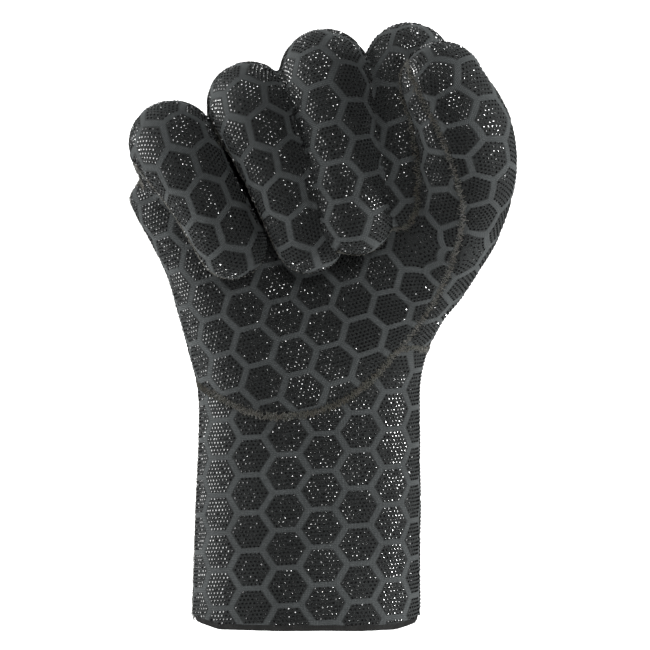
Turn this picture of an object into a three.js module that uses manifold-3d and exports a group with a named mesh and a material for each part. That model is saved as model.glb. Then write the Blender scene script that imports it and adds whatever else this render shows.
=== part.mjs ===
// A right-hand diving glove in thick neoprene, shown closed in a fist with the palm to the front.
//
// The hand is one open hollow shell with five closed stalls, cut along the real glove's seams
// into its three panels: the cuff that runs up the wrist, the palm with the pad side of the
// fingers and the inner side of the thumb, and the back with the nail side of the fingers and
// the outer side of the thumb.
//
// Millimetres, +Z up the arm, palm towards -Y, thumb at +X. The origin is the centre of the
// cuff's mouth, where the wrist goes in.
import * as THREE from "three";
import { mergeVertices } from "three/addons/utils/BufferGeometryUtils.js";
import Module from "manifold-3d";

// Driving dimensions, in millimetres.
const WALL = 5; // neoprene with its fabric
const SEAM_GAP = 0.3; // between neighbouring panels
const CUFF_WIDTH = 83;
const CUFF_DEPTH = 58;
const CUFF_LENGTH = 77; // mouth to the lowest point of the wrist seam
const CORNER_RISE = 2.5; // how much higher the mouth's edge ends at its two side seams
const HAND_HEIGHT = 142; // wrist seam to the top of the closed fist
const PALM_WIDTH = 110; // across the four knuckles
const PALM_DEPTH = 50; // front to back at the heel of the hand
const FINGER_REACH = 118; // knuckle to fingertip along the longest finger
const FINGER_WIDTH = 31; // the longest finger at its middle joint
const FINGER_DEPTH = 31; // the same finger, nail side to pad side
const THUMB_WIDTH = 36; // thumb at its joint

// Facets.
const BODY_SIDES = 32;
const BODY_STEPS = 16; // rings from the mouth to the knuckles
const STALL_SIDES = 14; // outer skin of a finger or thumb
const STALL_STEPS = 14;
const LINING_SIDES = 8; // its inner skin
const LINING_STEPS = 8;
const CAP_STEPS = 3; // rings of a rounded tip
const FINEST = 0.06; // details smaller than this are merged
const CUT_OVER = 1; // how far the cutting solids stand proud of the skin they cut

// Sections of the cuff. up: share of CUFF_LENGTH. centre, width: shares of CUFF_WIDTH. depth:
// share of CUFF_DEPTH. turn: degrees about the arm.
const CUFF_SECTIONS = [
  { up: 0.0, centre: -0.006, width: 1.0, depth: 1.0, turn: -6 },
  { up: 0.55, centre: 0.004, width: 0.985, depth: 0.98, turn: -6 },
];

// Sections of the hand. up: share of HAND_HEIGHT above the wrist seam. centre, width: shares of
// PALM_WIDTH. depth, forward: shares of PALM_DEPTH. tilt: degrees that the little finger's side
// hangs lower.
const HAND_SECTIONS = [
  { up: 0.03, centre: 0.008, width: 0.73, depth: 1.12, forward: 0.0, tilt: 0 },
  { up: 0.16, centre: -0.008, width: 0.76, depth: 1.07, forward: 0.01, tilt: 1 },
  { up: 0.28, centre: -0.01, width: 0.835, depth: 1.05, forward: 0.02, tilt: 3 },
  { up: 0.4, centre: -0.015, width: 0.905, depth: 0.98, forward: 0.02, tilt: 6 },
  { up: 0.52, centre: -0.03, width: 1.0, depth: 0.93, forward: 0.01, tilt: 10 },
  { up: 0.62, centre: -0.055, width: 1.06, depth: 0.88, forward: 0.0, tilt: 14 },
  { up: 0.68, centre: -0.07, width: 1.07, depth: 0.8, forward: -0.02, tilt: 16 },
  { up: 0.73, centre: -0.05, width: 0.96, depth: 0.64, forward: -0.03, tilt: 16 },
  { up: 0.76, centre: -0.04, width: 0.84, depth: 0.4, forward: -0.04, tilt: 16 },
];
const SECTION_POWER = 2.35; // superellipse power of a section: 2 is an ellipse

// The four fingers. across, back, up: the knuckle as shares of PALM_WIDTH, PALM_DEPTH and
// HAND_HEIGHT. yaw: turn towards the thumb. tilt: lean of the plane the finger bends in. rise:
// climb of its first bone. bend, curl: turn at its middle and end joints; all five in degrees.
// reach: share of FINGER_REACH. first: share of the reach up to the middle joint. thick: share
// of FINGER_WIDTH and FINGER_DEPTH there. waist, tip: shares of that past the joint and at the
// tip.
const FINGERS = [
  {
    name: "little",
    across: -0.388, back: 0.05, up: 0.59,
    yaw: 5, tilt: 30, rise: 29, bend: 112, curl: 14,
    reach: 0.8, first: 0.42, thick: 1.0, waist: 0.86, tip: 0.81,
  },
  {
    name: "ring",
    across: -0.125, back: 0.06, up: 0.66,
    yaw: 2, tilt: 24, rise: 29, bend: 114, curl: 18,
    reach: 0.97, first: 0.42, thick: 0.96, waist: 0.9, tip: 0.85,
  },
  {
    name: "middle",
    across: 0.085, back: 0.06, up: 0.715,
    yaw: 2, tilt: 11.5, rise: 29, bend: 110, curl: 12,
    reach: 1.0, first: 0.43, thick: 1.03, waist: 0.84, tip: 0.84,
  },
  {
    name: "index",
    across: 0.315, back: 0.05, up: 0.745,
    yaw: 0, tilt: -5, rise: 29, bend: 112, curl: 10,
    reach: 0.9, first: 0.44, thick: 1.0, waist: 0.86, tip: 0.8,
  },
];
const KNUCKLE_ROUND = 0.24; // length of the knuckle's bend, as a share of the finger's reach
const JOINT_ROUND = 0.26; // the same for the joints beyond it
const END_JOINT = 0.55; // place of the end joint between the middle joint and the tip
const WAIST_RUN = 0.25; // how fast a finger narrows past its middle joint
const ROOT_LENGTH = 0.22; // part of a stall inside the palm, as a share of the finger's reach
const ROOT_TAPER = 0.6; // share of its thickness at the buried end

// The thumb's stations from its root in the heel of the hand to its tip. across, forward, up:
// shares of PALM_WIDTH, PALM_DEPTH and HAND_HEIGHT. thick: share of THUMB_WIDTH. broad: how much
// wider than deep.
const THUMB_STATIONS = [
  { across: 0.1, forward: 0.02, up: 0.2, thick: 1.0, broad: 1.35 },
  { across: 0.21, forward: 0.2, up: 0.29, thick: 1.04, broad: 1.28 },
  { across: 0.335, forward: 0.44, up: 0.38, thick: 1.06, broad: 1.14 },
  { across: 0.447, forward: 0.72, up: 0.485, thick: 1.04, broad: 1.03 },
  { across: 0.51, forward: 0.98, up: 0.6, thick: 1.0, broad: 1.0 },
  { across: 0.505, forward: 1.14, up: 0.71, thick: 0.96, broad: 1.0 },
  { across: 0.435, forward: 1.2, up: 0.835, thick: 0.81, broad: 1.0 },
];

// The wrist seam as the front shows it, and the thumb seam that leaves it and climbs to the
// thumb's tip. across: share of PALM_WIDTH, up: share of HAND_HEIGHT.
const WRIST_SEAM = [
  { across: -0.375, up: 0.085 },
  { across: -0.3, up: 0.052 },
  { across: -0.19, up: 0.012 },
  { across: -0.08, up: 0.0 },
  { across: 0.04, up: 0.016 },
  { across: 0.14, up: 0.05 },
  { across: 0.24, up: 0.112 },
  { across: 0.305, up: 0.168 },
  { across: 0.4, up: 0.17 },
];
const THUMB_SEAM = [
  { across: 0.27, up: 0.135 },
  { across: 0.305, up: 0.168 },
  { across: 0.4, up: 0.27 },
  { across: 0.47, up: 0.385 },
  { across: 0.5, up: 0.52 },
  { across: 0.44, up: 0.675 },
  { across: 0.33, up: 0.855 },
  { across: 0.3, up: 0.98 },
];

const wasm = await Module();
wasm.setup();

const radians = THREE.MathUtils.degToRad;
const clamp = (t) => Math.min(1, Math.max(0, t));
const smooth = (t) => clamp(t) ** 2 * (3 - 2 * clamp(t));
const mix = (a, b, t) => a + (b - a) * t;
const handPoint = (across, forward, up) =>
  new THREE.Vector3(across * PALM_WIDTH, -forward * PALM_DEPTH, CUFF_LENGTH + up * HAND_HEIGHT);

// Solids from closed meshes

function solidOf(geometry) {
  const bare = new THREE.BufferGeometry();
  const source = geometry.index ? geometry.toNonIndexed() : geometry;
  bare.setAttribute("position", source.getAttribute("position"));
  const merged = mergeVertices(bare, 1e-4);
  return new wasm.Manifold(
    new wasm.Mesh({
      numProp: 3,
      vertProperties: merged.attributes.position.array,
      triVerts: new Uint32Array(merged.index.array),
    }),
  );
}

// A triangle list as a solid whose faces point out, whichever way its rings turn.
function closedSolid(points, faces) {
  const geometry = new THREE.BufferGeometry().setFromPoints(points);
  geometry.setIndex(faces);
  const made = solidOf(geometry);
  if (made.volume() >= 0) return made;
  const turned = [];
  for (let i = 0; i < faces.length; i += 3) turned.push(faces[i], faces[i + 2], faces[i + 1]);
  geometry.setIndex(turned);
  return solidOf(geometry);
}

// A closed skin through rings of equal length; each end is capped with a fan to its centre.
function loftSolid(rings) {
  const sides = rings[0].length;
  const points = rings.flat();
  const faces = [];
  for (let r = 0; r + 1 < rings.length; r++) {
    for (let i = 0; i < sides; i++) {
      const a = r * sides + i;
      const b = r * sides + ((i + 1) % sides);
      faces.push(a, b, b + sides, a, b + sides, a + sides);
    }
  }
  for (const [r, flip] of [[0, true], [rings.length - 1, false]]) {
    const centre = new THREE.Vector3();
    rings[r].forEach((p) => centre.addScaledVector(p, 1 / sides));
    const c = points.push(centre) - 1;
    for (let i = 0; i < sides; i++) {
      const a = r * sides + i;
      const b = r * sides + ((i + 1) % sides);
      faces.push(...(flip ? [b, a, c] : [a, b, c]));
    }
  }
  return closedSolid(points, faces);
}

// A straight block over an outline of [x, z] corners in the front view, from yFrom to yTo.
function frontBlock(outline, yFrom, yTo) {
  const shape = new THREE.Shape(outline.map(([x, z]) => new THREE.Vector2(x, z)));
  const geometry = new THREE.ExtrudeGeometry(shape, { depth: yTo - yFrom, bevelEnabled: false });
  geometry.rotateX(Math.PI / 2).translate(0, yTo, 0);
  return solidOf(geometry);
}

const joined = (solids) => solids.reduce((all, one) => all.add(one));

// Cuff and palm

const bodyRows = [
  ...CUFF_SECTIONS.map((row) => ({
    x: row.centre * CUFF_WIDTH,
    y: 0,
    z: row.up * CUFF_LENGTH,
    a: (row.width * CUFF_WIDTH) / 2,
    b: (row.depth * CUFF_DEPTH) / 2,
    turn: radians(row.turn),
    tilt: 0,
  })),
  ...HAND_SECTIONS.map((row) => ({
    x: row.centre * PALM_WIDTH,
    y: -row.forward * PALM_DEPTH,
    z: CUFF_LENGTH + row.up * HAND_HEIGHT,
    a: (row.width * PALM_WIDTH) / 2,
    b: (row.depth * PALM_DEPTH) / 2,
    turn: 0,
    tilt: radians(row.tilt),
  })),
];

// The section at row number t: a smooth curve through each of the rows' values.
function bodySection(t) {
  const last = bodyRows.length - 1;
  const i = Math.min(last - 1, Math.floor(t));
  const f = t - i;
  const section = {};
  for (const key of Object.keys(bodyRows[0])) {
    const [p, q, r, s] = [-1, 0, 1, 2].map((n) => bodyRows[clamp((i + n) / last) * last][key]);
    const leave = ((r - p) / 2) * f * (1 - f) ** 2;
    const arrive = ((s - q) / 2) * f ** 2 * (f - 1);
    section[key] = mix(q, r, smooth(f)) + leave + arrive;
  }
  return section;
}

function bodyRing(section, inset, z) {
  const ring = [];
  for (let i = 0; i < BODY_SIDES; i++) {
    const angle = (2 * Math.PI * i) / BODY_SIDES;
    const [c, s] = [Math.cos(angle), Math.sin(angle)];
    const u = Math.sign(c) * Math.abs(c) ** (2 / SECTION_POWER) * (section.a - inset);
    const v = Math.sign(s) * Math.abs(s) ** (2 / SECTION_POWER) * (section.b - inset);
    const x = u * Math.cos(section.turn) - v * Math.sin(section.turn);
    const y = u * Math.sin(section.turn) + v * Math.cos(section.turn);
    ring.push(
      new THREE.Vector3(
        section.x + x * Math.cos(section.tilt),
        section.y + y,
        z + x * Math.sin(section.tilt),
      ),
    );
  }
  return ring;
}

// The skin of the cuff and palm, moved in by inset, and run on below the mouth by reach.
function bodySolid(inset, reach) {
  const last = bodyRows.length - 1;
  const rings = [];
  for (let k = 0; k <= BODY_STEPS; k++) {
    const section = bodySection((k / BODY_STEPS) * last);
    rings.push(bodyRing(section, inset, section.z - (inset * k) / BODY_STEPS));
  }
  if (reach > 0) rings.unshift(bodyRing(bodyRows[0], inset, bodyRows[0].z - reach));
  return loftSolid(rings);
}

// Fingers and thumb as stalls: a tube along stations, closed by a round tip. A station has its
// place, its directions (along, nail, side) and its half sizes (wide, deep).

function stallRing(station, inset, scale, push, sides) {
  const centre = station.at.clone().addScaledVector(station.along, push);
  return Array.from({ length: sides }, (_, i) => {
    const angle = (2 * Math.PI * (i + 0.5)) / sides;
    return centre
      .clone()
      .addScaledVector(station.side, (station.wide - inset) * scale * Math.cos(angle))
      .addScaledVector(station.nail, (station.deep - inset) * scale * Math.sin(angle));
  });
}

// The nail side of such a ring, cut level at offset above the centre line. Its two end corners
// slide along their own facet, so that a deeper cut lies wholly inside a shallower one.
function nailRing(station, grow, scale, push, sides, offset) {
  const centre = station.at.clone().addScaledVector(station.along, push);
  const [wide, deep] = [(station.wide + grow) * scale, (station.deep + grow) * scale];
  const turn = Math.PI / (sides - 1);
  const lean = (1 - Math.cos(turn)) / Math.sin(turn);
  return Array.from({ length: sides }, (_, i) => {
    const end = i === 0 || i === sides - 1;
    const across = Math.cos(turn * i) * (end ? 1 - (lean * offset) / deep : 1);
    const above = end ? offset / deep : Math.sin(turn * i);
    return centre
      .clone()
      .addScaledVector(station.side, wide * across)
      .addScaledVector(station.nail, deep * above);
  });
}

function capped(stations, ringAt, radius) {
  const rings = stations.map((station) => ringAt(station, 1, 0));
  const tip = stations[stations.length - 1];
  for (let k = 1; k <= CAP_STEPS; k++) {
    const angle = (k / (CAP_STEPS + 0.4)) * (Math.PI / 2);
    rings.push(ringAt(tip, Math.cos(angle), radius * Math.sin(angle)));
  }
  return loftSolid(rings);
}

function stallSolid(line, inset) {
  const [sides, steps] = inset > 0 ? [LINING_SIDES, LINING_STEPS] : [STALL_SIDES, STALL_STEPS];
  const ringAt = (station, scale, push) => stallRing(station, inset, scale, push, sides);
  return capped(sampled(line, steps), ringAt, line[line.length - 1].deep - inset);
}

// The nail side of a stall, a little thicker than the stall itself. A cut further up, with a
// greater offset, is also thinner, so that the one lies wholly inside the other.
function nailSide(line, offset) {
  const grow = CUT_OVER - offset;
  const sides = STALL_SIDES / 2 + 1;
  const ringAt = (station, scale, push) => nailRing(station, grow, scale, push, sides, offset);
  return capped(sampled(line, STALL_STEPS), ringAt, line[line.length - 1].deep + grow);
}

function sampled(line, steps) {
  const last = line.length - 1;
  return Array.from({ length: steps + 1 }, (_, i) => line[Math.round((i / steps) * last)]);
}

// A finger's centre line, walked in fine steps while its heading turns down joint by joint.
function fingerLine(row) {
  const reach = row.reach * FINGER_REACH;
  const yaw = radians(row.yaw);
  const tilt = radians(row.tilt);
  const forward = new THREE.Vector3(Math.sin(yaw), -Math.cos(yaw), 0);
  const up = new THREE.Vector3(-Math.sin(tilt), 0, Math.cos(tilt));
  up.addScaledVector(forward, -up.dot(forward)).normalize();
  const side = new THREE.Vector3().crossVectors(up, forward);
  const joints = [
    { at: 0, turn: 90 - row.rise, over: KNUCKLE_ROUND },
    { at: row.first, turn: row.bend, over: JOINT_ROUND },
    { at: mix(row.first, 1, END_JOINT), turn: row.curl, over: JOINT_ROUND },
  ];
  const tipDeep = (row.thick * row.tip * FINGER_DEPTH) / 2;
  const end = 1 - tipDeep / reach;
  const steps = 300;
  const step = (end + ROOT_LENGTH) / steps;
  const line = [];
  const walk = new THREE.Vector3();
  let knuckle = null;
  for (let i = 0; i <= steps; i++) {
    const s = i * step - ROOT_LENGTH;
    const turned = joints.reduce((sum, j) => sum + j.turn * smooth((s - j.at) / j.over + 0.5), 0);
    const heading = radians(90 - turned);
    const along = forward.clone().multiplyScalar(Math.cos(heading));
    along.addScaledVector(up, Math.sin(heading));
    const nail = new THREE.Vector3().crossVectors(along, side);
    const past = (s - row.first) / (1 - row.first);
    const waist = smooth((s - row.first) / WAIST_RUN);
    const root = mix(ROOT_TAPER, 1, smooth(1 + s / ROOT_LENGTH));
    const wide = 1 + (row.waist - 1) * waist + (row.tip - row.waist) * smooth(past);
    const deep = 1 + (row.tip - 1) * smooth(past);
    line.push({
      at: walk.clone(),
      along,
      nail,
      side,
      wide: (row.thick * root * wide * FINGER_WIDTH) / 2,
      deep: (row.thick * root * deep * FINGER_DEPTH) / 2,
    });
    if (!knuckle && s >= 0) knuckle = walk.clone();
    walk.addScaledVector(along, step * reach);
  }
  const place = handPoint(row.across, -row.back, row.up).sub(knuckle);
  line.forEach((station) => station.at.add(place));
  return line;
}

function thumbLine() {
  const last = THUMB_STATIONS.length - 1;
  const places = THUMB_STATIONS.map((row) => handPoint(row.across, row.forward, row.up));
  const curve = new THREE.CatmullRomCurve3(places);
  const steps = 180;
  return Array.from({ length: steps + 1 }, (_, i) => {
    const t = i / steps;
    const row = Math.min(last - 1, Math.floor(t * last));
    const part = smooth(t * last - row);
    const [near, far] = [THUMB_STATIONS[row], THUMB_STATIONS[row + 1]];
    const deep = (mix(near.thick, far.thick, part) * THUMB_WIDTH) / 2;
    const along = curve.getTangent(t);
    const nail = new THREE.Vector3(0, 1, 0).addScaledVector(along, -along.y).normalize();
    const side = new THREE.Vector3().crossVectors(along, nail);
    const wide = deep * mix(near.broad, far.broad, part);
    return { at: curve.getPoint(t), along, nail, side, wide, deep };
  });
}

const fingerLines = FINGERS.map(fingerLine);
const thumb = thumbLine();

// Shell of the whole glove

function skin(inset, reach) {
  const stalls = [...fingerLines, thumb].map((line) => stallSolid(line, inset));
  return joined([bodySolid(inset, reach), ...stalls]);
}

// Wedges that lift the mouth's edge towards the side seams.
function mouthCorners() {
  const half = CUFF_WIDTH / 2;
  const corner = [[half * 0.76, -1], [half * 0.76, 0], [half * 1.2, CORNER_RISE * 2.2]];
  const far = half * 1.2;
  return joined(
    [1, -1].map((way) => {
      const outline = [...corner, [far, -1]].map(([x, z]) => [way * x, z]);
      return frontBlock(outline, -CUFF_DEPTH, CUFF_DEPTH);
    }),
  );
}

const shell = skin(0, 0).subtract(skin(WALL, WALL)).subtract(mouthCorners());

// Panels: offset moves every edge of a region outwards, so that panels part by the seam gap

const FAR = 3 * HAND_HEIGHT;
const seamLine = (rows) =>
  new THREE.SplineCurve(
    rows.map((row) => new THREE.Vector2(row.across * PALM_WIDTH, CUFF_LENGTH + row.up * HAND_HEIGHT)),
  )
    .getPoints(3 * rows.length)
    .map((p) => [p.x, p.y]);

// Everything below the wrist seam. Behind, the seam runs straight between its two ends.
function belowWrist(offset) {
  const front = seamLine(WRIST_SEAM).map(([x, z]) => [x, z + offset]);
  const ends = [front[0], front[front.length - 1]];
  const under = (line) => {
    const [first, last] = [line[0], line[line.length - 1]];
    return [[-FAR, -FAR], [-FAR, first[1]], ...line, [FAR, last[1]], [FAR, -FAR]];
  };
  return frontBlock(under(front), -FAR, 0).add(frontBlock(under(ends), 0, FAR));
}

// The thumb's outer side: what lies beyond the thumb seam.
function thumbOuter(offset) {
  const line = seamLine(THUMB_SEAM).map(([x, z]) => [x - offset, z]);
  const [first, last] = [line[0], line[line.length - 1]];
  const outline = [[first[0], -FAR], ...line, [last[0], FAR], [FAR, FAR], [FAR, -FAR]];
  return frontBlock(outline, -FAR, FAR).intersect(stallSolid(thumb, -CUT_OVER - offset));
}

function palmRegion(offset) {
  const front = frontBlock([[-FAR, -FAR], [-FAR, FAR], [FAR, FAR], [FAR, -FAR]], -FAR, offset);
  const nails = joined(fingerLines.map((line) => nailSide(line, offset)));
  return front.subtract(nails).subtract(thumbOuter(-offset)).subtract(belowWrist(-offset));
}

const half = SEAM_GAP / 2;
const cuff = shell.intersect(belowWrist(-half));
const palm = shell.intersect(palmRegion(-half));
const back = shell.subtract(belowWrist(half)).subtract(palmRegion(half));

// Colours and materials

const fabric = (colour) =>
  new THREE.MeshStandardMaterial({ color: colour, roughness: 0.8, metalness: 0 });

// A solid as a named mesh; crumbs that the cuts leave beside it are dropped.
function meshOf(name, solid, material) {
  const whole = solid
    .simplify(FINEST)
    .decompose()
    .sort((p, q) => q.volume() - p.volume())[0];
  const made = whole.getMesh();
  const geometry = new THREE.BufferGeometry();
  const positions = new Float32Array(made.vertProperties);
  geometry.setAttribute("position", new THREE.BufferAttribute(positions, made.numProp));
  geometry.setIndex(new THREE.BufferAttribute(made.triVerts, 1));
  geometry.computeVertexNormals();
  const mesh = new THREE.Mesh(geometry, material);
  mesh.name = name;
  return mesh;
}

const glove = new THREE.Group();
glove.add(meshOf("cuff", cuff, fabric(0x3a3e40)));
glove.add(meshOf("palm_panel", palm, fabric(0x424648)));
glove.add(meshOf("back_panel", back, fabric(0x3a3e40)));
export default glove;
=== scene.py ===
import math

import bmesh
import bpy
import numpy as np
import openvdb
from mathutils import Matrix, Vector, noise
from mathutils.kdtree import KDTree


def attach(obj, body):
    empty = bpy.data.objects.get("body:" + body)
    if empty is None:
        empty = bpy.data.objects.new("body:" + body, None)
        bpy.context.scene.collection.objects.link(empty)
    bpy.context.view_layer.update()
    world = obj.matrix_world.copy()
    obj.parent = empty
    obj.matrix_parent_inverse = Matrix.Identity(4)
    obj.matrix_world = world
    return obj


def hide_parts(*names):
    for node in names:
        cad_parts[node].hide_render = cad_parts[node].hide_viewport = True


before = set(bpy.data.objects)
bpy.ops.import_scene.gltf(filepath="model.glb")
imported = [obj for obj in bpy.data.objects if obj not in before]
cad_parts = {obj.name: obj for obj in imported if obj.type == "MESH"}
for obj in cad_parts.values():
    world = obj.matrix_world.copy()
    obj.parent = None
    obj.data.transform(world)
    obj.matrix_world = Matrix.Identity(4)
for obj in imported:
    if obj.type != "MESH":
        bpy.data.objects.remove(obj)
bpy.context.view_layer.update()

# Sizes of the glove in millimetres, as in its solids
WALL = 5.0
CUFF_WIDTH, CUFF_DEPTH, CUFF_LENGTH = 83.0, 58.0, 77.0
CORNER_RISE = 2.5
HAND_HEIGHT = 142.0
PALM_WIDTH, PALM_DEPTH = 110.0, 50.0
FINGER_REACH, FINGER_WIDTH, FINGER_DEPTH = 118.0, 31.0, 31.0
THUMB_WIDTH = 36.0

# Grid of the skin
CELL = 1.5

# Cuff sections: up (share of CUFF_LENGTH), centre and width (of CUFF_WIDTH), depth (of
# CUFF_DEPTH), turn (degrees about the arm)
CUFF_SECTIONS = [
    (0.0, -0.006, 1.0, 1.0, -6),
    (0.55, 0.004, 0.985, 0.98, -6),
]
# Hand sections: up (share of HAND_HEIGHT), centre and width (of PALM_WIDTH), depth and forward
# (of PALM_DEPTH), tilt (degrees)
HAND_SECTIONS = [
    (0.03, 0.008, 0.73, 1.12, 0.0, 0),
    (0.16, -0.008, 0.76, 1.07, 0.01, 1),
    (0.28, -0.01, 0.835, 1.05, 0.02, 3),
    (0.4, -0.015, 0.905, 0.98, 0.02, 6),
    (0.52, -0.03, 1.0, 0.93, 0.01, 10),
    (0.62, -0.055, 1.06, 0.88, 0.0, 14),
    (0.68, -0.07, 1.07, 0.8, -0.02, 16),
    (0.73, -0.05, 0.96, 0.64, -0.03, 16),
    (0.76, -0.04, 0.84, 0.4, -0.04, 16),
]
SECTION_POWER = 2.35

# Fingers: across, back, up, yaw, tilt, rise, bend, curl, reach, first, thick, waist, tip
FINGERS = {
    "little": (-0.388, 0.05, 0.59, 5, 30, 29, 112, 14, 0.8, 0.42, 1.0, 0.86, 0.81),
    "ring": (-0.125, 0.06, 0.66, 2, 24, 29, 114, 18, 0.97, 0.42, 0.96, 0.9, 0.85),
    "middle": (0.085, 0.06, 0.715, 2, 11.5, 29, 110, 12, 1.0, 0.43, 1.03, 0.84, 0.84),
    "index": (0.315, 0.05, 0.745, 0, -5, 29, 112, 10, 0.9, 0.44, 1.0, 0.86, 0.8),
}
KNUCKLE_ROUND, JOINT_ROUND = 0.24, 0.26
END_JOINT, WAIST_RUN = 0.55, 0.25
ROOT_LENGTH, ROOT_TAPER = 0.22, 0.6

# Thumb stations: across, forward, up, thick, broad
THUMB_STATIONS = [
    (0.1, 0.02, 0.2, 1.0, 1.35),
    (0.21, 0.2, 0.29, 1.04, 1.28),
    (0.335, 0.44, 0.38, 1.06, 1.14),
    (0.447, 0.72, 0.485, 1.04, 1.03),
    (0.51, 0.98, 0.6, 1.0, 1.0),
    (0.505, 1.14, 0.71, 0.96, 1.0),
    (0.435, 1.2, 0.835, 0.81, 1.0),
]

# Seams in the front view: across (share of PALM_WIDTH), up (share of HAND_HEIGHT)
WRIST_SEAM = [
    (-0.375, 0.085), (-0.3, 0.052), (-0.19, 0.012), (-0.08, 0.0), (0.04, 0.016),
    (0.14, 0.05), (0.24, 0.112), (0.305, 0.168), (0.4, 0.17),
]
THUMB_SEAM = [
    (0.27, 0.135), (0.305, 0.168), (0.4, 0.27), (0.47, 0.385), (0.5, 0.52),
    (0.44, 0.675), (0.33, 0.855), (0.3, 0.98),
]


# Shape of the hand as signed distances

def smooth(t):
    c = np.clip(t, 0.0, 1.0)
    return c * c * (3 - 2 * c)


def mix(a, b, t):
    return a + (b - a) * t


def unit(v):
    return v / np.linalg.norm(v, axis=-1, keepdims=True)


def hand_point(across, forward, up):
    return np.array([across * PALM_WIDTH, -forward * PALM_DEPTH, CUFF_LENGTH + up * HAND_HEIGHT])


def body_rows():
    """Section rows: centre x, y, z, half width, half depth, turn, tilt."""
    rows = []
    for up, centre, width, depth, turn in CUFF_SECTIONS:
        half = (width * CUFF_WIDTH / 2, depth * CUFF_DEPTH / 2)
        rows.append((centre * CUFF_WIDTH, 0, up * CUFF_LENGTH, *half, math.radians(turn), 0))
    for up, centre, width, depth, forward, tilt in HAND_SECTIONS:
        place = hand_point(centre, forward, up)
        half = (width * PALM_WIDTH / 2, depth * PALM_DEPTH / 2)
        rows.append((*place, *half, 0, math.radians(tilt)))
    return np.array(rows)


def fine_rows(rows, per_row=24):
    """The rows with smooth in-between values."""
    last = len(rows) - 1
    t = np.linspace(0, last, last * per_row + 1)
    i = np.minimum(t.astype(int), last - 1)
    f = (t - i)[:, None]
    p, q, r, s = (rows[np.clip(i + n, 0, last)] for n in (-1, 0, 1, 2))
    leave = (r - p) / 2 * f * (1 - f) ** 2
    arrive = (s - q) / 2 * f**2 * (f - 1)
    return mix(q, r, smooth(f)) + leave + arrive


BODY = fine_rows(body_rows())


def body_place(points):
    """Per point: its section's row number, its level, and where it lies in half sizes."""
    order = np.arange(len(BODY))
    x, y, z = points.T
    level = z.copy()
    for _ in range(5):
        at = np.interp(level, BODY[:, 2], order)
        centre = np.interp(at, order, BODY[:, 0])
        tilt = np.interp(at, order, BODY[:, 6])
        level = z - (x - centre) * np.tan(tilt)
    at = np.interp(level, BODY[:, 2], order)
    cx, cy, a, b, turn, tilt = (np.interp(at, order, BODY[:, k]) for k in (0, 1, 3, 4, 5, 6))
    dx = (x - cx) / np.cos(tilt)
    dy = y - cy
    u = (dx * np.cos(turn) + dy * np.sin(turn)) / a
    v = (dy * np.cos(turn) - dx * np.sin(turn)) / b
    return at, level, u, v, a, b


def body_distance(points):
    _, level, u, v, a, b = body_place(points)
    n = SECTION_POWER
    g = np.maximum((np.abs(u) ** n + np.abs(v) ** n) ** (1 / n), 1e-3)
    slope = np.hypot(np.abs(u / g) ** (n - 1) / a, np.abs(v / g) ** (n - 1) / b)
    side = (g - 1) / np.maximum(slope, 1e-4)
    return smooth_max(side, level - BODY[-1, 2], 5.0)


def smooth_min(a, b, k):
    h = np.clip(0.5 + 0.5 * (b - a) / k, 0, 1)
    return mix(b, a, h) - k * h * (1 - h)


def smooth_max(a, b, k):
    return -smooth_min(-a, -b, k)


def finger_line(row):
    """Stations of a finger: place, along, nail, side, half width, half depth, share."""
    across, back, up_share, yaw, tilt, rise, bend, curl, reach, first, thick, waist, tip = row
    reach *= FINGER_REACH
    yaw, tilt = math.radians(yaw), math.radians(tilt)
    forward = np.array([math.sin(yaw), -math.cos(yaw), 0])
    up = np.array([-math.sin(tilt), 0, math.cos(tilt)])
    up = unit(up - forward * (up @ forward))
    side = np.cross(up, forward)
    joints = [
        (0, 90 - rise, KNUCKLE_ROUND),
        (first, bend, JOINT_ROUND),
        (mix(first, 1, END_JOINT), curl, JOINT_ROUND),
    ]
    end = 1 - thick * tip * FINGER_DEPTH / 2 / reach
    s = np.linspace(-ROOT_LENGTH, end, 120)
    heading = np.radians(90 - sum(turn * smooth((s - at) / over + 0.5) for at, turn, over in joints))
    along = forward * np.cos(heading)[:, None] + up * np.sin(heading)[:, None]
    step = (s[1] - s[0]) * reach
    place = np.cumsum(along, axis=0) * step
    place += hand_point(across, -back, up_share) - place[np.searchsorted(s, 0)]
    past = smooth((s - first) / (1 - first))
    narrow = smooth((s - first) / WAIST_RUN)
    root = mix(ROOT_TAPER, 1, smooth(1 + s / ROOT_LENGTH))
    wide = thick * root * (1 + (waist - 1) * narrow + (tip - waist) * past) * FINGER_WIDTH / 2
    deep = thick * root * (1 + (tip - 1) * past) * FINGER_DEPTH / 2
    nail = np.cross(along, side)
    return place, along, nail, np.broadcast_to(side, along.shape), wide, deep, s


def spline(values, t):
    """A smooth curve through rows of values at 0, 1, 2 and so on."""
    last = len(values) - 1
    i = np.clip(t.astype(int), 0, last - 1)
    f = (t - i)[:, None]
    p, q, r, s = (values[np.clip(i + n, 0, last)] for n in (-1, 0, 1, 2))
    return q + f / 2 * (r - p + f * (2 * p - 5 * q + 4 * r - s + f * (3 * (q - r) + s - p)))


def thumb_line():
    rows = np.array(THUMB_STATIONS)
    last = len(rows) - 1
    t = np.linspace(0, last, 120)
    places = np.array([hand_point(*row[:3]) for row in THUMB_STATIONS])
    place = spline(places, t)
    along = unit(np.gradient(place, axis=0))
    nail = unit(np.array([0.0, 1.0, 0.0]) - along * along[:, 1:2])
    side = np.cross(along, nail)
    i = np.clip(t.astype(int), 0, last - 1)
    part = smooth(t - i)
    deep = mix(rows[i, 3], rows[i + 1, 3], part) * THUMB_WIDTH / 2
    wide = deep * mix(rows[i, 4], rows[i + 1, 4], part)
    return place, along, nail, side, wide, deep, t / last


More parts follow.
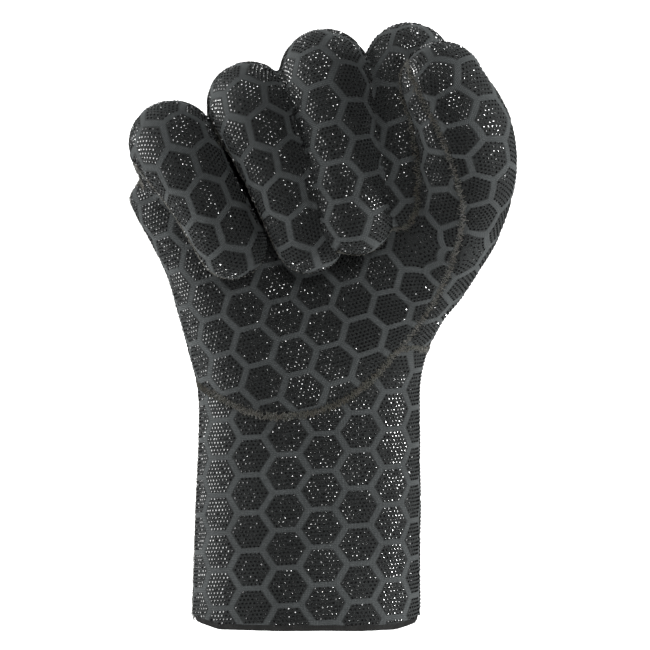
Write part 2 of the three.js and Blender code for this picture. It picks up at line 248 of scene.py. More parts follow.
def stall_distance(points, line):
    """Distance to a stall's skin, share along its line, and place beside and over that line."""
    place, along, nail, side, wide, deep, share = line
    reach = max(wide.max(), deep.max()) + 14
    near = np.all((points > place.min(0) - reach) & (points < place.max(0) + reach), axis=1)
    some = points[near]
    nearest = np.empty(len(some), int)
    for start in range(0, len(some), 40000):
        block = some[start : start + 40000]
        gaps = ((block[:, None] - place[None]) ** 2).sum(2)
        nearest[start : start + 40000] = gaps.argmin(1)
    off = some - place[nearest]
    ahead = (off * along[nearest]).sum(1)
    at_end = (nearest == 0) & (ahead < 0) | (nearest == len(place) - 1) & (ahead > 0)
    w, d = wide[nearest], deep[nearest]
    end = np.minimum(w, d)
    u = (off * side[nearest]).sum(1)
    v = (off * nail[nearest]).sum(1)
    q = np.where(at_end, ahead, 0)
    g = np.maximum(np.sqrt((u / w) ** 2 + (v / d) ** 2 + (q / end) ** 2), 1e-3)
    slope = np.sqrt((u / w**2) ** 2 + (v / d**2) ** 2 + (q / end**2) ** 2) / g
    step = np.linalg.norm(place[1] - place[0])
    found = np.zeros((5, len(points)))
    found[0] = 1e3
    found[:, near] = (
        (g - 1) / np.maximum(slope, 1e-4),
        share[nearest],
        v,
        u,
        np.clip(nearest + ahead / step, 0, len(place) + 12),
    )
    return found


finger_lines = {name: finger_line(row) for name, row in FINGERS.items()}
thumb = thumb_line()
THUMB = 5


def hand_field(points):
    """Per point: distance to the skin, stall it belongs to (0 is the palm), share, height."""
    total = body_distance(points)
    best = total.copy()
    owner, share, height = np.zeros((3, len(points)))
    d, s, v, _, _ = stall_distance(points, thumb)
    mine = (d < best) & (s > 0.45)
    owner[mine], share[mine] = THUMB, s[mine]
    best = np.minimum(best, d)
    total = smooth_min(total, d, mix(14.0, 2.0, smooth((s - 0.35) / 0.3)))
    for number, line in enumerate(finger_lines.values(), 1):
        d, s, v, _, _ = stall_distance(points, line)
        mine = (d < best) & (s > 0.04)
        owner[mine], share[mine], height[mine] = number, s[mine], v[mine]
        best = np.minimum(best, d)
        total = smooth_min(total, d, mix(9.0, 1.2, smooth((s - 0.02) / 0.16)))
    return total, owner, share, height


def glove_grid():
    start = np.array([-72.0, -84.0, -4.0])
    size = np.ceil((np.array([82.0, 38.0, 226.0]) - start) / CELL).astype(int)
    axes = [start[k] + CELL * np.arange(size[k]) for k in range(3)]
    mesh = np.stack(np.meshgrid(*axes, indexing="ij"), -1).reshape(-1, 3)
    skin = hand_field(mesh)[0]
    wall = np.abs(skin + WALL / 2) - WALL / 2
    x, z = mesh[:, 0], mesh[:, 2]
    solid = np.maximum(wall, corner_rise(x) - z)
    return solid.reshape(size).astype(np.float32), start


def skin_mesh():
    values, start = glove_grid()
    grid = openvdb.FloatGrid(background=3.0)
    grid.copyFromArray(np.clip(values, -3, 3))
    points, quads = grid.convertToQuads(isovalue=0.0)
    return points * CELL + start, quads


# Panels: the skin is cut along its seams and unrolled flat, as the real cloth was

def seam_curve(rows):
    """Dense x, z points of a seam in the front view."""
    flat = np.array([hand_point(across, 0, up)[[0, 2]] for across, up in rows])
    return spline(flat, np.linspace(0, len(rows) - 1, 12 * len(rows)))


def panel_fields(points):
    """Per point: height over the wrist seam, nail-side measure, skin distance and stall."""
    x, y, z = points.T
    wrist = seam_curve(WRIST_SEAM)
    front = np.interp(x, wrist[:, 0], wrist[:, 1])
    behind = np.interp(x, wrist[[0, -1], 0], wrist[[0, -1], 1])
    over_wrist = z - np.where(y < 0, front, behind)
    climb = seam_curve(THUMB_SEAM)
    outward = x - np.interp(z, climb[:, 1], climb[:, 0])
    skin, owner, share, above = hand_field(points)
    nail_side = np.where((owner == THUMB) | (z < 150), np.maximum(y, outward), y)
    finger = (owner > 0) & (owner < THUMB)
    onto_finger = smooth((share - 0.04) / 0.1)
    nail_side = np.where(finger, mix(nail_side, above, onto_finger), nail_side)
    over_edge = z - corner_rise(x) - EDGE_HEIGHT
    return np.stack([over_wrist, nail_side, skin, owner, share, y, over_edge], 1)


def cut(points, faces, fields, column):
    """The triangles with new corners where the field in that column is nought."""
    value = fields[:, column]
    value[np.abs(value) < 1e-4] = 1e-4
    above = value[faces] > 0
    count = above.sum(1)
    mixed = (count == 1) | (count == 2)
    crossed = faces[mixed]
    lone = np.where(count[mixed, None] == 1, above[mixed], ~above[mixed]).argmax(1)
    turn = (lone[:, None] + np.arange(3)) % 3
    a, b, c = np.take_along_axis(crossed, turn, 1).T
    edges = np.sort(np.concatenate([np.stack([a, b], 1), np.stack([a, c], 1)]), 1)
    edges, index = np.unique(edges, axis=0, return_inverse=True)
    index = index.reshape(-1) + len(points)
    p, q = index[: len(a)], index[len(a) :]
    va, vb = value[edges[:, 0]], value[edges[:, 1]]
    t = (va / (va - vb))[:, None]
    new_points = mix(points[edges[:, 0]], points[edges[:, 1]], t)
    new_fields = mix(fields[edges[:, 0]], fields[edges[:, 1]], t)
    new_fields[:, 3] = fields[edges[:, 0], 3]
    parts = [faces[~mixed]] + [np.stack(three, 1) for three in ((a, p, q), (p, b, c), (p, c, q))]
    side = [value[faces[~mixed]].max(1) > 0, value[a] > 0, value[a] < 0, value[a] < 0]
    side = np.concatenate(side)
    points = np.concatenate([points, new_points])
    return points, np.concatenate(parts), np.concatenate([fields, new_fields]), side


def glove_panels():
    """Points, fields, and the triangles of each panel."""
    points, quads = skin_mesh()
    faces = np.concatenate([quads[:, [0, 1, 2]], quads[:, [0, 2, 3]]]).astype(int)
    fields = panel_fields(points)
    points, faces, fields, hand = cut(points, faces, fields, 0)
    cuff, rest = faces[~hand], faces[hand]
    points, rest, fields, back = cut(points, rest, fields, 1)
    points, cuff, fields, _ = cut(points, cuff, fields, 5)
    points, cuff, fields, _ = cut(points, cuff, fields, 6)
    return points, fields, {"cuff": cuff, "palm_panel": rest[~back], "back_panel": rest[back]}


# Cloth coordinates: millimetres across and along each panel, with a cell's centre at nought

ARC_STEPS = 256
CELL_PITCH, CELL_COLUMN = 13.6, 13.2

# Honeycomb on each panel: slope of its rows, lean of its columns (degrees), across and along (mm)
# of one cell's centre
HONEYCOMB = {
    "cuff": (3.2, 3.5, 9.9, 10.0),
    "palm_panel": (10.0, 10.0, 0.0, 105.9),
    "back_panel": (10.0, 10.0, 6.6, 108.0),
}


def section_arcs():
    """Per section, the way round it in millimetres from the front's middle, by angle."""
    angle = np.linspace(0, 2 * np.pi, ARC_STEPS + 1)
    c, s = np.sin(angle), -np.cos(angle)
    n = SECTION_POWER
    x = np.sign(c) * np.abs(c) ** (2 / n) * BODY[:, 3:4]
    y = np.sign(s) * np.abs(s) ** (2 / n) * BODY[:, 4:5]
    steps = np.hypot(np.diff(x, axis=1), np.diff(y, axis=1))
    return np.concatenate([np.zeros((len(BODY), 1)), steps.cumsum(1)], 1)


ARCS = section_arcs()


def body_cloth(points, past, start):
    """Across: the way round from the front's middle (start 0) or the back's (start 0.5), with
    the far side cut at past, a share of the whole way round. Along: height."""
    at, _, u, v, _, _ = body_place(points)
    half = SECTION_POWER / 2
    angle = np.arctan2(np.sign(u) * np.abs(u) ** half, -np.sign(v) * np.abs(v) ** half)
    turn = np.mod(angle / (2 * np.pi), 1) * ARC_STEPS
    i, j = np.clip(at.astype(int), 0, len(BODY) - 2), np.clip(turn.astype(int), 0, ARC_STEPS - 1)
    f, g = at - i, turn - j
    around = mix(mix(ARCS[i, j], ARCS[i, j + 1], g), mix(ARCS[i + 1, j], ARCS[i + 1, j + 1], g), f)
    whole = mix(ARCS[i, -1], ARCS[i + 1, -1], f)
    around = np.where(turn > past * ARC_STEPS, around - whole, around)
    across = whole * start - around if start else around
    return np.stack([across, points[:, 2]], 1)


def stall_cloth(points, line, from_share, pad_side):
    """Across and along a stall, laid on from where it leaves the hand."""
    place, along, nail, side, wide, deep, share = line
    way = -1.0 if pad_side else 1.0
    first = np.searchsorted(share, from_share)
    root = place[first] + way * nail[first] * deep[first]
    root = body_cloth(root[None], 0.5 if pad_side else 1, 0 if pad_side else 0.5)[0]
    lean = math.atan2(side[first, 2], side[first, 0])
    _, s, v, u, number = stall_distance(points, line)
    i = np.clip(number.astype(int), 0, len(place) - 1)
    w, d = wide[i], deep[i]
    across = np.arctan2(u / w, way * v / d) * (w + d) / 2
    steps = np.linalg.norm(np.diff(place, axis=0), axis=1)
    turned = ((along[:-1] - along[1:]) * nail[1:]).sum(1)
    steps += way * turned * (deep[1:] + deep[:-1]) / 2
    length = np.concatenate([[0], np.maximum(steps, 0.02).cumsum()])
    reach = np.interp(number, np.arange(len(place)), length)
    reach += np.maximum(number - len(place) + 1, 0) * steps[-1]
    reach -= length[first]
    c, t = math.cos(lean), math.sin(lean)
    cloth = np.stack([across * c - reach * t, across * t + reach * c], 1)
    return cloth + root, s


def cloth(points, owner, panel, from_back):
    """Cloth coordinates of one stall's or the hand's own points on a panel."""
    if panel == "cuff":
        return body_cloth(points, 0.85 if from_back else 0.4, 0)
    back = panel == "back_panel"
    laid = body_cloth(points, 1 if back else 0.5, 0.5 if back else 0)
    if owner == THUMB:
        over, s = stall_cloth(points, thumb, 0.45, not back)
        laid = mix(laid, over, smooth((s[:, None] - 0.45) / 0.2))
    elif owner:
        line = list(finger_lines.values())[owner - 1]
        over, s = stall_cloth(points, line, 0.04, not back)
        laid = mix(laid, over, smooth((s[:, None] - 0.04) / 0.14))
    return laid


def all_edges(faces):
    edges = np.concatenate([faces[:, [0, 1]], faces[:, [1, 2]], faces[:, [2, 0]]])
    return np.unique(np.sort(edges, 1), axis=0, return_counts=True)


# Limits of an edge's pull while the cloth is laid flat, the rounds of turning and joining, and
# the steps that solve each round
CLOTH_WEIGHTS = (0.05, 4)
CLOTH_ROUNDS, CLOTH_STEPS = 14, 60


def eased(points, faces, laid, rounds=CLOTH_ROUNDS, steps=CLOTH_STEPS):
    """Cloth laid flat with the least stretch: each triangle is turned, then all are joined."""
    a, b, c = points[faces].transpose(1, 0, 2)
    length = np.maximum(np.linalg.norm(b - a, axis=1), 1e-6)
    foot = ((c - a) * (b - a)).sum(1) / length
    height = np.linalg.norm(np.cross(b - a, c - a), axis=1) / length
    flat = np.stack([0 * foot, length, foot + 1j * height], 1)
    now = laid[:, 0] + 1j * laid[:, 1]
    first, second, third = now[faces].T
    if ((second - first).conj() * (third - first)).imag.sum() < 0:
        flat = flat.conj()
    ahead, behind = np.roll(flat, -1, 1), np.roll(flat, -2, 1)
    spin = (flat - behind).conj() * (ahead - behind)
    weight = np.clip(spin.real / np.maximum(abs(spin.imag), 1e-6), *CLOTH_WEIGHTS)
    tail, head = faces.ravel(), np.roll(faces, -1, 1).ravel()
    size = len(laid)

    def gathered(value):
        value = value.ravel()
        real = np.bincount(tail, value.real, size) - np.bincount(head, value.real, size)
        return real + 1j * (np.bincount(tail, value.imag, size) - np.bincount(head, value.imag, size))

    def pulled(z):
        return gathered(weight.ravel() * (z[tail] - z[head]))

    heavy = np.bincount(tail, weight.ravel(), size) + np.bincount(head, weight.ravel(), size)
    for _ in range(rounds):
        gap = np.roll(now[faces], -1, 1) - now[faces]
        turn = (weight * (ahead - flat).conj() * gap).sum(1, keepdims=True)
        turn /= np.maximum(abs(turn), 1e-12)
        left = gathered(weight * (flat - ahead) * turn) - pulled(now)
        push = left / heavy
        way = push
        size_now = np.vdot(left, push).real
        for _ in range(steps):
            effect = pulled(way)
            share = size_now / max(np.vdot(way, effect).real, 1e-12)
            now = now + share * way
            left = left - share * effect
            push = left / heavy
            size_next = np.vdot(left, push).real
            way = push + way * (size_next / max(size_now, 1e-12))
            size_now = size_next
    return np.stack([now.real, now.imag], 1)


def panel_cloth(points, faces, owners, outer, panel):
    """Cloth coordinates of every corner, each face as a whole on its own stall."""
    found = np.zeros((len(faces), 3, 2))
    key = owners[faces[:, 0]].astype(int)
    from_back = points[faces, 1].mean(1) > 0
    for owner in range(THUMB + 1):
        for back in (False, True):
            mine = (key == owner) & (from_back == back)
            if mine.any():
                used, index = np.unique(faces[mine], return_inverse=True)
                found[mine] = cloth(points[used], owner, panel, back)[index.reshape(-1, 3)]
    if panel != "cuff":
        joined = outer & ((key == 0) | (key == THUMB) | (panel == "back_panel"))
        own = np.repeat(np.where(key == THUMB, 0, key)[:, None], 3, 1)
        stall = np.full(len(points), THUMB)
        on_finger = joined & (own[:, 0] > 0)
        np.minimum.at(stall, faces[on_finger], own[on_finger])
        own = np.where((own == 0) & (stall[faces] < THUMB), stall[faces], own)
        number = (faces + own * len(points))[joined]
        used, index = np.unique(number, return_inverse=True)
        index = index.reshape(-1, 3)
        laid = np.zeros((len(used), 2))
        laid[index] = found[joined]
        found[joined] = eased(points[used % len(points)], index, laid)[index]
    slope, lean, across, along = HONEYCOMB[panel]
    slope, lean = math.radians(slope), math.radians(lean)
    x, y = found[..., 0] - across, found[..., 1] - along
    u = x * math.cos(lean) + y * math.sin(lean)
    v = y * math.cos(slope) - x * math.sin(slope)
    return np.stack([u, v], -1)


# Meshes

WELD = 0.25
GROOVE_DEPTH, GROOVE_HALF = 0.9, 1.1
EDGE_HEIGHT, EDGE_INSET = 2.2, 0.7
MM = 0.001


def mesh_object(name, points, faces, smooth_faces=True):
    mesh = bpy.data.meshes.new(name)
    mesh.from_pydata((points * MM).tolist(), [], faces.tolist())
    if smooth_faces:
        mesh.shade_smooth()
    piece = bpy.data.objects.new(name, mesh)
    bpy.context.scene.collection.objects.link(piece)
    return piece


def welded(points, faces):
    """The triangles with corners that lie close together joined."""
    used, index = np.unique(faces, return_inverse=True)
    mesh = bpy.data.meshes.new("welded")
    mesh.from_pydata(points[used].tolist(), [], index.reshape(-1, 3).tolist())
    work = bmesh.new()
    work.from_mesh(mesh)
    bmesh.ops.remove_doubles(work, verts=work.verts, dist=WELD)
    work.verts.index_update()
    points = np.array([v.co for v in work.verts])
    faces = np.array([[v.index for v in f.verts] for f in work.faces])
    work.free()
    bpy.data.meshes.remove(mesh)
    return points, faces


def vertex_normals(points, faces):
    a, b, c = points[faces].transpose(1, 0, 2)
    flat = np.cross(b - a, c - a)
    normals = np.zeros_like(points)
    for corner in range(3):
        np.add.at(normals, faces[:, corner], flat)
    return unit(normals + 1e-12)


def open_edges(faces):
    """Edges with one face, as pairs of vertex numbers."""
    edges, count = all_edges(faces)
    return edges[count == 1]


def distance_to(points, seam_points):
    tree = KDTree(len(seam_points))
    for i, p in enumerate(seam_points):
        tree.insert(p, i)
    tree.balance()
    return np.array([tree.find(p)[2] for p in points])


def corner_rise(x):
    half = CUFF_WIDTH / 2
    return np.clip((np.abs(x) - half * 0.76) / (half * 0.24), 0, 2) * CORNER_RISE


def runs(edges):
    """Edges linked end to end into runs of vertex numbers."""
    beside = {}
    for a, b in edges.tolist():
        beside.setdefault(a, []).append(b)
        beside.setdefault(b, []).append(a)
    starts = sorted(beside, key=lambda v: len(beside[v]) != 1)
    found = []
    for start in starts:
        while beside[start]:
            run = [start]
            while beside[run[-1]]:
                ahead = beside[run[-1]].pop()
                beside[ahead].remove(run[-1])
                run.append(ahead)
            found.append(run)
    return found


def build_panel(name, points, faces):
    """The panel's object, its outer triangles with cloth coordinates, and its seam runs."""
    points, faces = welded(points, faces)
    skin, owner, _, _ = hand_field(points)
    normals = vertex_normals(points, faces)
    middle = skin[faces].mean(1)
    outer = middle > -0.9
    low_edge = points[faces, 2].mean(1) - corner_rise(points[faces, 0]).mean(1) < EDGE_HEIGHT
    uv = panel_cloth(points, faces, owner, outer, name)
    edges = open_edges(faces)
    if name == "cuff":
        on_side = (np.abs(points[:, 1]) < 0.01) & (points[:, 0] < 0)
        sides = all_edges(faces)[0]
        edges = np.concatenate([edges, sides[on_side[sides].all(1)]])
    edges = edges[(skin[edges] > -1.2).all(1)]
    seams = [
        (points[run], normals[run]) for run in runs(edges) if len(run) > 8
    ]
    seam_points = points[np.unique(edges)]
    near = distance_to(points, seam_points)
    sink = GROOVE_DEPTH * np.exp(-((near / GROOVE_HALF) ** 2)) * (skin > -1.2)
    rough = np.array([noise.noise(Vector(p) / 17) + noise.noise(Vector(p) / 6) / 4 for p in points])
    moved = points - normals * (sink - 0.25 * rough)[:, None]
    if name == "cuff":
        foot = (moved[:, 2] - corner_rise(moved[:, 0]) < EDGE_HEIGHT - 0.01) & (skin > -1.2)
        moved[foot] -= normals[foot] * (1, 1, 0) * EDGE_INSET
    piece = mesh_object(name + "_cloth", moved, faces)
    layer = piece.data.uv_layers.new(name="cloth")
    layer.data.foreach_set("uv", uv.reshape(-1) * MM)
    inside = np.where(outer & ~low_edge, 0, 1)
    piece.data.polygons.foreach_set("material_index", inside.astype(np.int32))
    shown = outer & ~low_edge
    return piece, moved, faces[shown], uv[shown], seams


# Raised dots: rows of domes inside every cell

# Dots across a cell's column and rows along its pitch: the half keeps the next column in step
DOT_RADIUS, DOT_HEIGHT = 0.5, 0.26
DOTS_ACROSS, DOT_ROWS = 8.5, 10
DOT_SPACE = DOT_RADIUS * 1.6
DOT_UNEVEN = 0.11
LINE_WIDTH = 2.1
SEAM_CLEAR = 1.3


def cell_place(uv):
    """Distance from the nearest cell's centre towards its sides, in millimetres."""
    ratio = CELL_PITCH * math.sqrt(3) / 2 / CELL_COLUMN
    u, v = uv[:, 0] * ratio, uv[:, 1]
    wide = CELL_PITCH * math.sqrt(3)
    near = np.full(len(uv), np.inf)
    for shift in (0, 0.5):
        du = np.mod(u - shift * wide + wide / 2, wide) - wide / 2
        dv = np.mod(v - shift * CELL_PITCH + CELL_PITCH / 2, CELL_PITCH) - CELL_PITCH / 2
        near = np.minimum(near, np.maximum(abs(dv), abs(dv) / 2 + abs(du) * math.sqrt(3) / 2))
    return near


def dot_places(points, faces, uv):
    """Places and normals of the dots: every point of the dots' grid that a triangle covers."""
    pitch = CELL_COLUMN / DOTS_ACROSS
    row = CELL_PITCH / DOT_ROWS
    normals = vertex_normals(points, faces)
    places, ups = [], []
    for shift in (0, 1):
        offset = np.array([shift * pitch / 2, shift * row])
        period = np.array([pitch, 2 * row])
        number = np.round((uv.mean(1) - offset) / period)
        target = number * period + offset
        e1, e2, off = uv[:, 1] - uv[:, 0], uv[:, 2] - uv[:, 0], target - uv[:, 0]
        area = e1[:, 0] * e2[:, 1] - e1[:, 1] * e2[:, 0]
        area = np.where(np.abs(area) < 1e-6, 1e9, area)
        s = (off[:, 0] * e2[:, 1] - off[:, 1] * e2[:, 0]) / area
        t = (e1[:, 0] * off[:, 1] - e1[:, 1] * off[:, 0]) / area
        sides = [points[faces[:, k]] - points[faces[:, 0]] for k in (1, 2)]
        stretch = np.linalg.norm(np.cross(*sides), axis=1)
        sound = np.abs(np.log(np.maximum(stretch, 1e-9) / np.abs(area))) < 0.9
        inside = (s >= 0) & (t >= 0) & (s + t <= 1) & sound
        inside &= cell_place(target) < (CELL_PITCH - LINE_WIDTH) / 2 - DOT_RADIUS * 0.6
        corners = np.stack([1 - s - t, s, t], 1)[inside][:, :, None]
        places.append((points[faces[inside]] * corners).sum(1))
        ups.append(unit((normals[faces[inside]] * corners).sum(1)))
    return np.concatenate(places), np.concatenate(ups)


def clear_of(places, ups, least):
    """Leaves out dots closer than least to an earlier one, as at the joins of the cloth."""
    tree = KDTree(len(places))
    for i, p in enumerate(places):
        tree.insert(p, i)
    tree.balance()
    keep = np.ones(len(places), bool)
    for i, p in enumerate(places):
        if keep[i]:
            for _, other, _ in tree.find_range(p, least):
                if other > i:
                    keep[other] = False
    return places[keep], ups[keep]


def dot_mesh(name, places, ups, chance, sides=5):
    """Faceted domes that lean a little by chance, so that they glint one by one."""
    ups = unit(ups + chance.normal(0, DOT_UNEVEN, ups.shape))
    across = unit(np.cross(ups, [0.3, 0.2, 1.0]))
    along = np.cross(ups, across)
    angle = np.arange(sides) * 2 * np.pi / sides
    rings = [(DOT_RADIUS, -0.08), (DOT_RADIUS * 0.72, DOT_HEIGHT * 0.84)]
    parts = []
    for radius, height in rings:
        for a in angle:
            way = across * math.cos(a) + along * math.sin(a)
            parts.append(places + way * radius + ups * height)
    parts.append(places + ups * DOT_HEIGHT)
    points = np.stack(parts, 1)
    one = []
    for k in range(sides):
        n = (k + 1) % sides
        one += [(k, n, sides + n), (k, sides + n, sides + k), (sides + k, sides + n, 2 * sides)]
    faces = np.arange(len(places))[:, None, None] * (2 * sides + 1) + np.array(one)
    return mesh_object(name, points.reshape(-1, 3), faces.reshape(-1, 3), smooth_faces=False)


# Stitches: short uneven threads that lie across the seams

THREAD_RADIUS = 0.11
THREAD_SPACING = 0.22


def along_run(points, normals, spacing):
    """Places, normals and headings at even steps along a run."""
    steps = np.linalg.norm(np.diff(points, axis=0), axis=1)
    reach = np.concatenate([[0], steps.cumsum()])
    at = np.arange(spacing / 2, reach[-1], spacing)
    soft = points.copy()
    soft[1:-1] = (points[:-2] + 2 * points[1:-1] + points[2:]) / 4
    place = np.stack([np.interp(at, reach, soft[:, k]) for k in range(3)], 1)
    normal = unit(np.stack([np.interp(at, reach, normals[:, k]) for k in range(3)], 1))
    heading = unit(np.gradient(place, axis=0)) if len(at) > 2 else np.zeros_like(place)
    return place, normal, heading


def thread_mesh(name, seams, spacing, chance):
    """Bent threads, four points long and three sides round."""
    places, normals, headings = (np.concatenate(parts) for parts in zip(
        *(along_run(*seam, spacing) for seam in seams)
    ))
    count = len(places)
    side = np.cross(normals, headings)
    lean = chance.uniform(-0.9, 0.9, count)[:, None]
    way = unit(side + headings * lean)
    length = chance.uniform(1.0, 2.7, count)[:, None]
    middle = places + side * chance.normal(0, 0.62, count)[:, None]
    lift = chance.uniform(-0.1, 0.35, count)[:, None]
    bend = headings * chance.uniform(-0.4, 0.4, count)[:, None]
    parts = []
    across = np.cross(way, normals)
    for share, height in ((-0.5, -0.75), (-0.18, 0.0), (0.18, 0.0), (0.5, -0.75)):
        centre = middle + way * length * share + normals * (lift + height) + bend * (share**2)
        for k in range(3):
            a = k * 2 * np.pi / 3
            parts.append(centre + (across * math.cos(a) + normals * math.sin(a)) * THREAD_RADIUS)
    points = np.stack(parts, 1)
    one = []
    for step in range(3):
        for k in range(3):
            a, b = step * 3 + k, step * 3 + (k + 1) % 3
            one += [(a, b, b + 3), (a, b + 3, a + 3)]
    faces = np.arange(count)[:, None, None] * 12 + np.array(one)
    return mesh_object(name, points.reshape(-1, 3), faces.reshape(-1, 3))


# Materials

class Nodes:
    """A material's nodes, added and joined with short calls."""

    def __init__(self, name):
        self.material = bpy.data.materials.new(name)
        self.material.use_nodes = True
        self.tree = self.material.node_tree
        self.shader = self.tree.nodes["Principled BSDF"]

    def put(self, socket, value):
        if isinstance(value, bpy.types.NodeSocket):
            self.tree.links.new(value, socket)
        else:
            socket.default_value = value

    def add(self, kind, inputs=(), **settings):
        node = self.tree.nodes.new("ShaderNode" + kind)
        for key, value in settings.items():
            setattr(node, key, value)
        for socket, value in dict(inputs).items():
            self.put(node.inputs[socket], value)
        return node

    def math(self, operation, a, b=0.0, c=0.0):
        node = self.add("Math", {0: a, 1: b, 2: c}, operation=operation)
        return node.outputs[0]

    def ramp(self, value, low, high, to_low=0.0, to_high=1.0):
        inputs = {"Value": value, 1: low, 2: high, 3: to_low, 4: to_high}
        return self.add("MapRange", inputs, interpolation_type="SMOOTHSTEP").outputs[0]

    def mix_colour(self, factor, a, b, blend="MIX"):
        node = self.add("Mix", {0: factor, 6: a, 7: b}, data_type="RGBA", blend_type=blend)
        return node.outputs[2]

    def noise(self, vector, scale, detail=2.0):
        return self.add("TexNoise", {"Vector": vector, "Scale": scale, "Detail": detail}).outputs[0]

    def bump(self, height, strength, distance, under=None):
        inputs = {"Height": height, "Strength": strength, "Distance": distance}
        if under is not None:
            inputs["Normal"] = under
        return self.add("Bump", inputs).outputs[0]

    def surface(self, **values):
        for name, value in values.items():
            self.put(self.shader.inputs[name.replace("_", " ")], value)
        return self.material


def hexagon_distance(n, u, v):
    """Nodes for the distance from the nearest cell's centre, as a share of the pitch."""
    wide = math.sqrt(3)
    found = []
    for shift in (0, 0.5):
        du = n.math("FLOORED_MODULO", n.math("ADD", u, wide / 2 - shift * wide), wide)
        du = n.math("SUBTRACT", du, wide / 2)
        dv = n.math("FLOORED_MODULO", n.math("ADD", v, 0.5 - shift), 1.0)
        dv = n.math("SUBTRACT", dv, 0.5)
        du, dv = n.math("ABSOLUTE", du), n.math("ABSOLUTE", dv)
        slanted = n.math("MULTIPLY_ADD", du, wide / 2, n.math("MULTIPLY", dv, 0.5))
        found.append(n.math("MAXIMUM", dv, slanted))
    return n.math("MINIMUM", *found)


def fabric_material():
    n = Nodes("neoprene_fabric")
    cloth_map = n.add("UVMap", uv_map="cloth").outputs[0]
    spot = n.add("NewGeometry").outputs["Position"]
    wobble = n.noise(spot, 220.0, 1.0)
    parts = n.add("SeparateXYZ", {0: cloth_map})
    ratio = math.sqrt(3) / 2 / CELL_COLUMN / MM
    u = n.math("MULTIPLY", parts.outputs[0], ratio)
    v = n.math("MULTIPLY", parts.outputs[1], 1 / CELL_PITCH / MM)
    u = n.math("ADD", u, n.math("MULTIPLY_ADD", wobble, 0.04, -0.02))
    v = n.math("ADD", v, n.math("MULTIPLY_ADD", wobble, -0.04, 0.02))
    from_centre = hexagon_distance(n, u, v)
    half_line = LINE_WIDTH / 2 / CELL_PITCH
    line = n.ramp(from_centre, 0.5 - half_line - 0.02, 0.5 - half_line + 0.025)
    loops = n.add(
        "TexWave",
        {"Vector": cloth_map, "Scale": 560.0, "Distortion": 1.2, "Detail": 1.0},
    ).outputs[1]
    courses = n.add(
        "TexWave",
        {"Vector": cloth_map, "Scale": 480.0, "Distortion": 1.0, "Detail": 1.0},
        bands_direction="Y",
    ).outputs[1]
    knit = n.math("MULTIPLY", loops, courses)
    fleck = n.noise(spot, 1700.0, 1.0)
    broad = n.noise(spot, 38.0, 3.0)
    tone = n.mix_colour(line, (0.013, 0.0145, 0.0143, 1), (0.045, 0.0495, 0.05, 1))
    shade = n.math("MULTIPLY_ADD", knit, 0.5, 0.72)
    shade = n.math("MULTIPLY", shade, n.ramp(broad, 0.3, 0.7, 0.86, 1.12))
    shade = n.math("MULTIPLY", shade, n.ramp(fleck, 0.35, 0.75, 0.9, 1.25))
    grey = n.add("CombineXYZ", {0: shade, 1: shade, 2: shade}).outputs[0]
    colour = n.mix_colour(1.0, tone, grey, "MULTIPLY")
    low_bump = n.bump(line, 0.5, 0.00025)
    knit_bump = n.bump(knit, 0.55, 0.00022, low_bump)
    return n.surface(
        Base_Color=colour, Roughness=0.86, Normal=knit_bump, Sheen_Weight=0.12,
        Sheen_Roughness=0.5, Sheen_Tint=(0.75, 0.82, 0.82, 1), Specular_IOR_Level=0.3,
    )


def dot_material():
    n = Nodes("rubber_dots")
    spot = n.add("NewGeometry").outputs["Position"]
    worn = n.noise(spot, 420.0, 2.0)
    roughness = n.ramp(worn, 0.3, 0.7, 0.1, 0.3)
    return n.surface(
        Base_Color=(0.003, 0.003, 0.0032, 1), Roughness=roughness, IOR=2.0,
        Specular_IOR_Level=0.6,
    )


def foam_material():
    n = Nodes("foam_edge")
    spot = n.add("NewGeometry").outputs["Position"]
    pores = n.add("TexVoronoi", {"Vector": spot, "Scale": 2600.0}).outputs["Distance"]
    broad = n.noise(spot, 300.0, 2.0)
    colour = n.mix_colour(broad, (0.008, 0.008, 0.008, 1), (0.022, 0.022, 0.021, 1))
    normal = n.bump(pores, 0.6, 0.0002)
    return n.surface(Base_Color=colour, Roughness=0.9, Normal=normal, Specular_IOR_Level=0.2)


def thread_material():
    n = Nodes("seam_thread")
    spot = n.add("NewGeometry").outputs["Position"]
    kind = n.noise(spot, 260.0, 1.0)
    olive = n.mix_colour(n.ramp(kind, 0.4, 0.6), (0.075, 0.074, 0.05, 1), (0.07, 0.058, 0.035, 1))
    fibre = n.noise(spot, 5200.0, 1.0)
    colour = n.mix_colour(n.ramp(fibre, 0.35, 0.65), olive, (0.035, 0.036, 0.032, 1))
    return n.surface(Base_Color=colour, Roughness=0.75, Sheen_Weight=0.3)


# Build
points, fields, panels = glove_panels()
fabric, foam = fabric_material(), foam_material()
dots, thread = dot_material(), thread_material()
chance = np.random.default_rng(7)
all_seams = []
for name, faces in panels.items():
    piece, outside, shown, uv, seams = build_panel(name, points, faces)
    piece.data.materials.append(fabric)
    piece.data.materials.append(foam)
    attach(piece, "root")
    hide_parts(name)
    places, ups = clear_of(*dot_places(outside, shown, uv), DOT_SPACE)
    free = distance_to(places, np.concatenate([run for run, _ in seams])) > SEAM_CLEAR
    places, ups = places[free], ups[free]
    raised = dot_mesh(name + "_dots", places, ups, chance)
    raised.data.materials.append(dots)
    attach(raised, "root")
    if name != "back_panel":
        all_seams += seams
stitches = thread_mesh("seam_threads", all_seams, THREAD_SPACING, chance)
stitches.data.materials.append(thread)
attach(stitches, "root")


# Stage

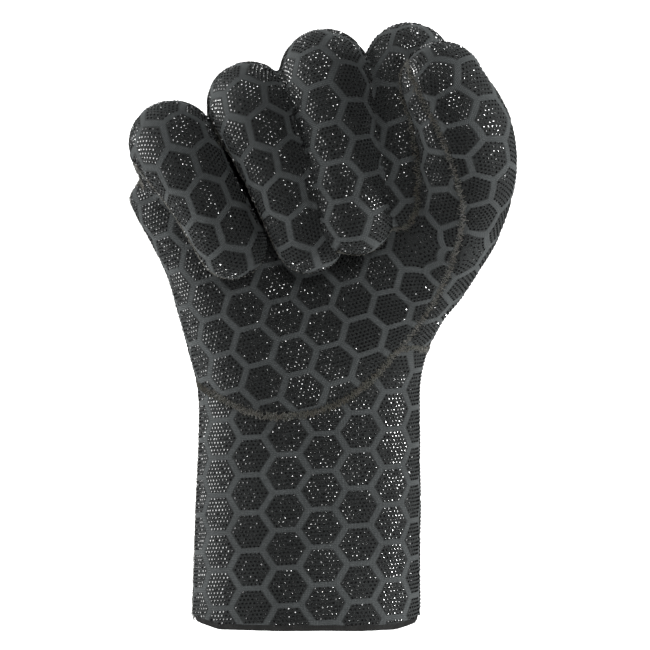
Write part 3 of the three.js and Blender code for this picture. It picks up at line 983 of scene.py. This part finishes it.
def sweep():
    """A white floor that rises behind the glove."""
    profile = [(-0.4, 0.0), (1.2, 0.0), (1.7, 0.1), (2.0, 0.4), (2.1, 0.9), (2.1, 3.0)]
    verts = [(x, y, z - 0.03) for y, z in profile for x in (-3.0, 3.0)]
    faces = [(2 * k, 2 * k + 1, 2 * k + 3, 2 * k + 2) for k in range(len(profile) - 1)]
    mesh = bpy.data.meshes.new("floor")
    mesh.from_pydata(verts, [], faces)
    mesh.shade_smooth()
    floor = bpy.data.objects.new("floor", mesh)
    bpy.context.scene.collection.objects.link(floor)
    n = Nodes("floor")
    floor.data.materials.append(n.surface(
        Base_Color=(0.9, 0.9, 0.9, 1), Roughness=0.9,
        Emission_Color=(1, 1, 1, 1), Emission_Strength=0.9,
    ))
    floor.visible_glossy = False


def area_light(name, place, aim, size, power):
    light = bpy.data.lights.new(name, "AREA")
    light.shape = "DISK"
    light.size = size
    light.energy = power
    lamp = bpy.data.objects.new(name, light)
    lamp.location = place
    lamp.rotation_euler = (Vector(aim) - Vector(place)).to_track_quat("-Z", "Y").to_euler()
    bpy.context.scene.collection.objects.link(lamp)


def camera():
    eye = bpy.data.cameras.new("camera")
    eye.sensor_width = 36
    eye.lens = 304
    eye.clip_end = 20
    holder = bpy.data.objects.new("camera", eye)
    holder.location = (0.0065, -2.0, 0.11)
    holder.rotation_euler = (math.pi / 2, 0, 0)
    bpy.context.scene.collection.objects.link(holder)
    bpy.context.scene.camera = holder


sweep()
middle = (0, -0.02, 0.11)
area_light("right", (1.5, -0.32, 0.3), middle, 0.3, 22)
area_light("left", (-1.5, 0.15, 0.4), middle, 1.6, 34)
area_light("front", (0.2, -1.8, 0.6), middle, 0.4, 10)
area_light("top", (-0.1, -0.45, 1.3), middle, 0.3, 6)
world = bpy.data.worlds.new("studio")
bpy.context.scene.world = world
world.use_nodes = True
world.node_tree.nodes["Background"].inputs[0].default_value = (1, 1, 1, 1)
world.node_tree.nodes["Background"].inputs[1].default_value = 0.03
bpy.context.scene.view_settings.view_transform = "Standard"
camera()
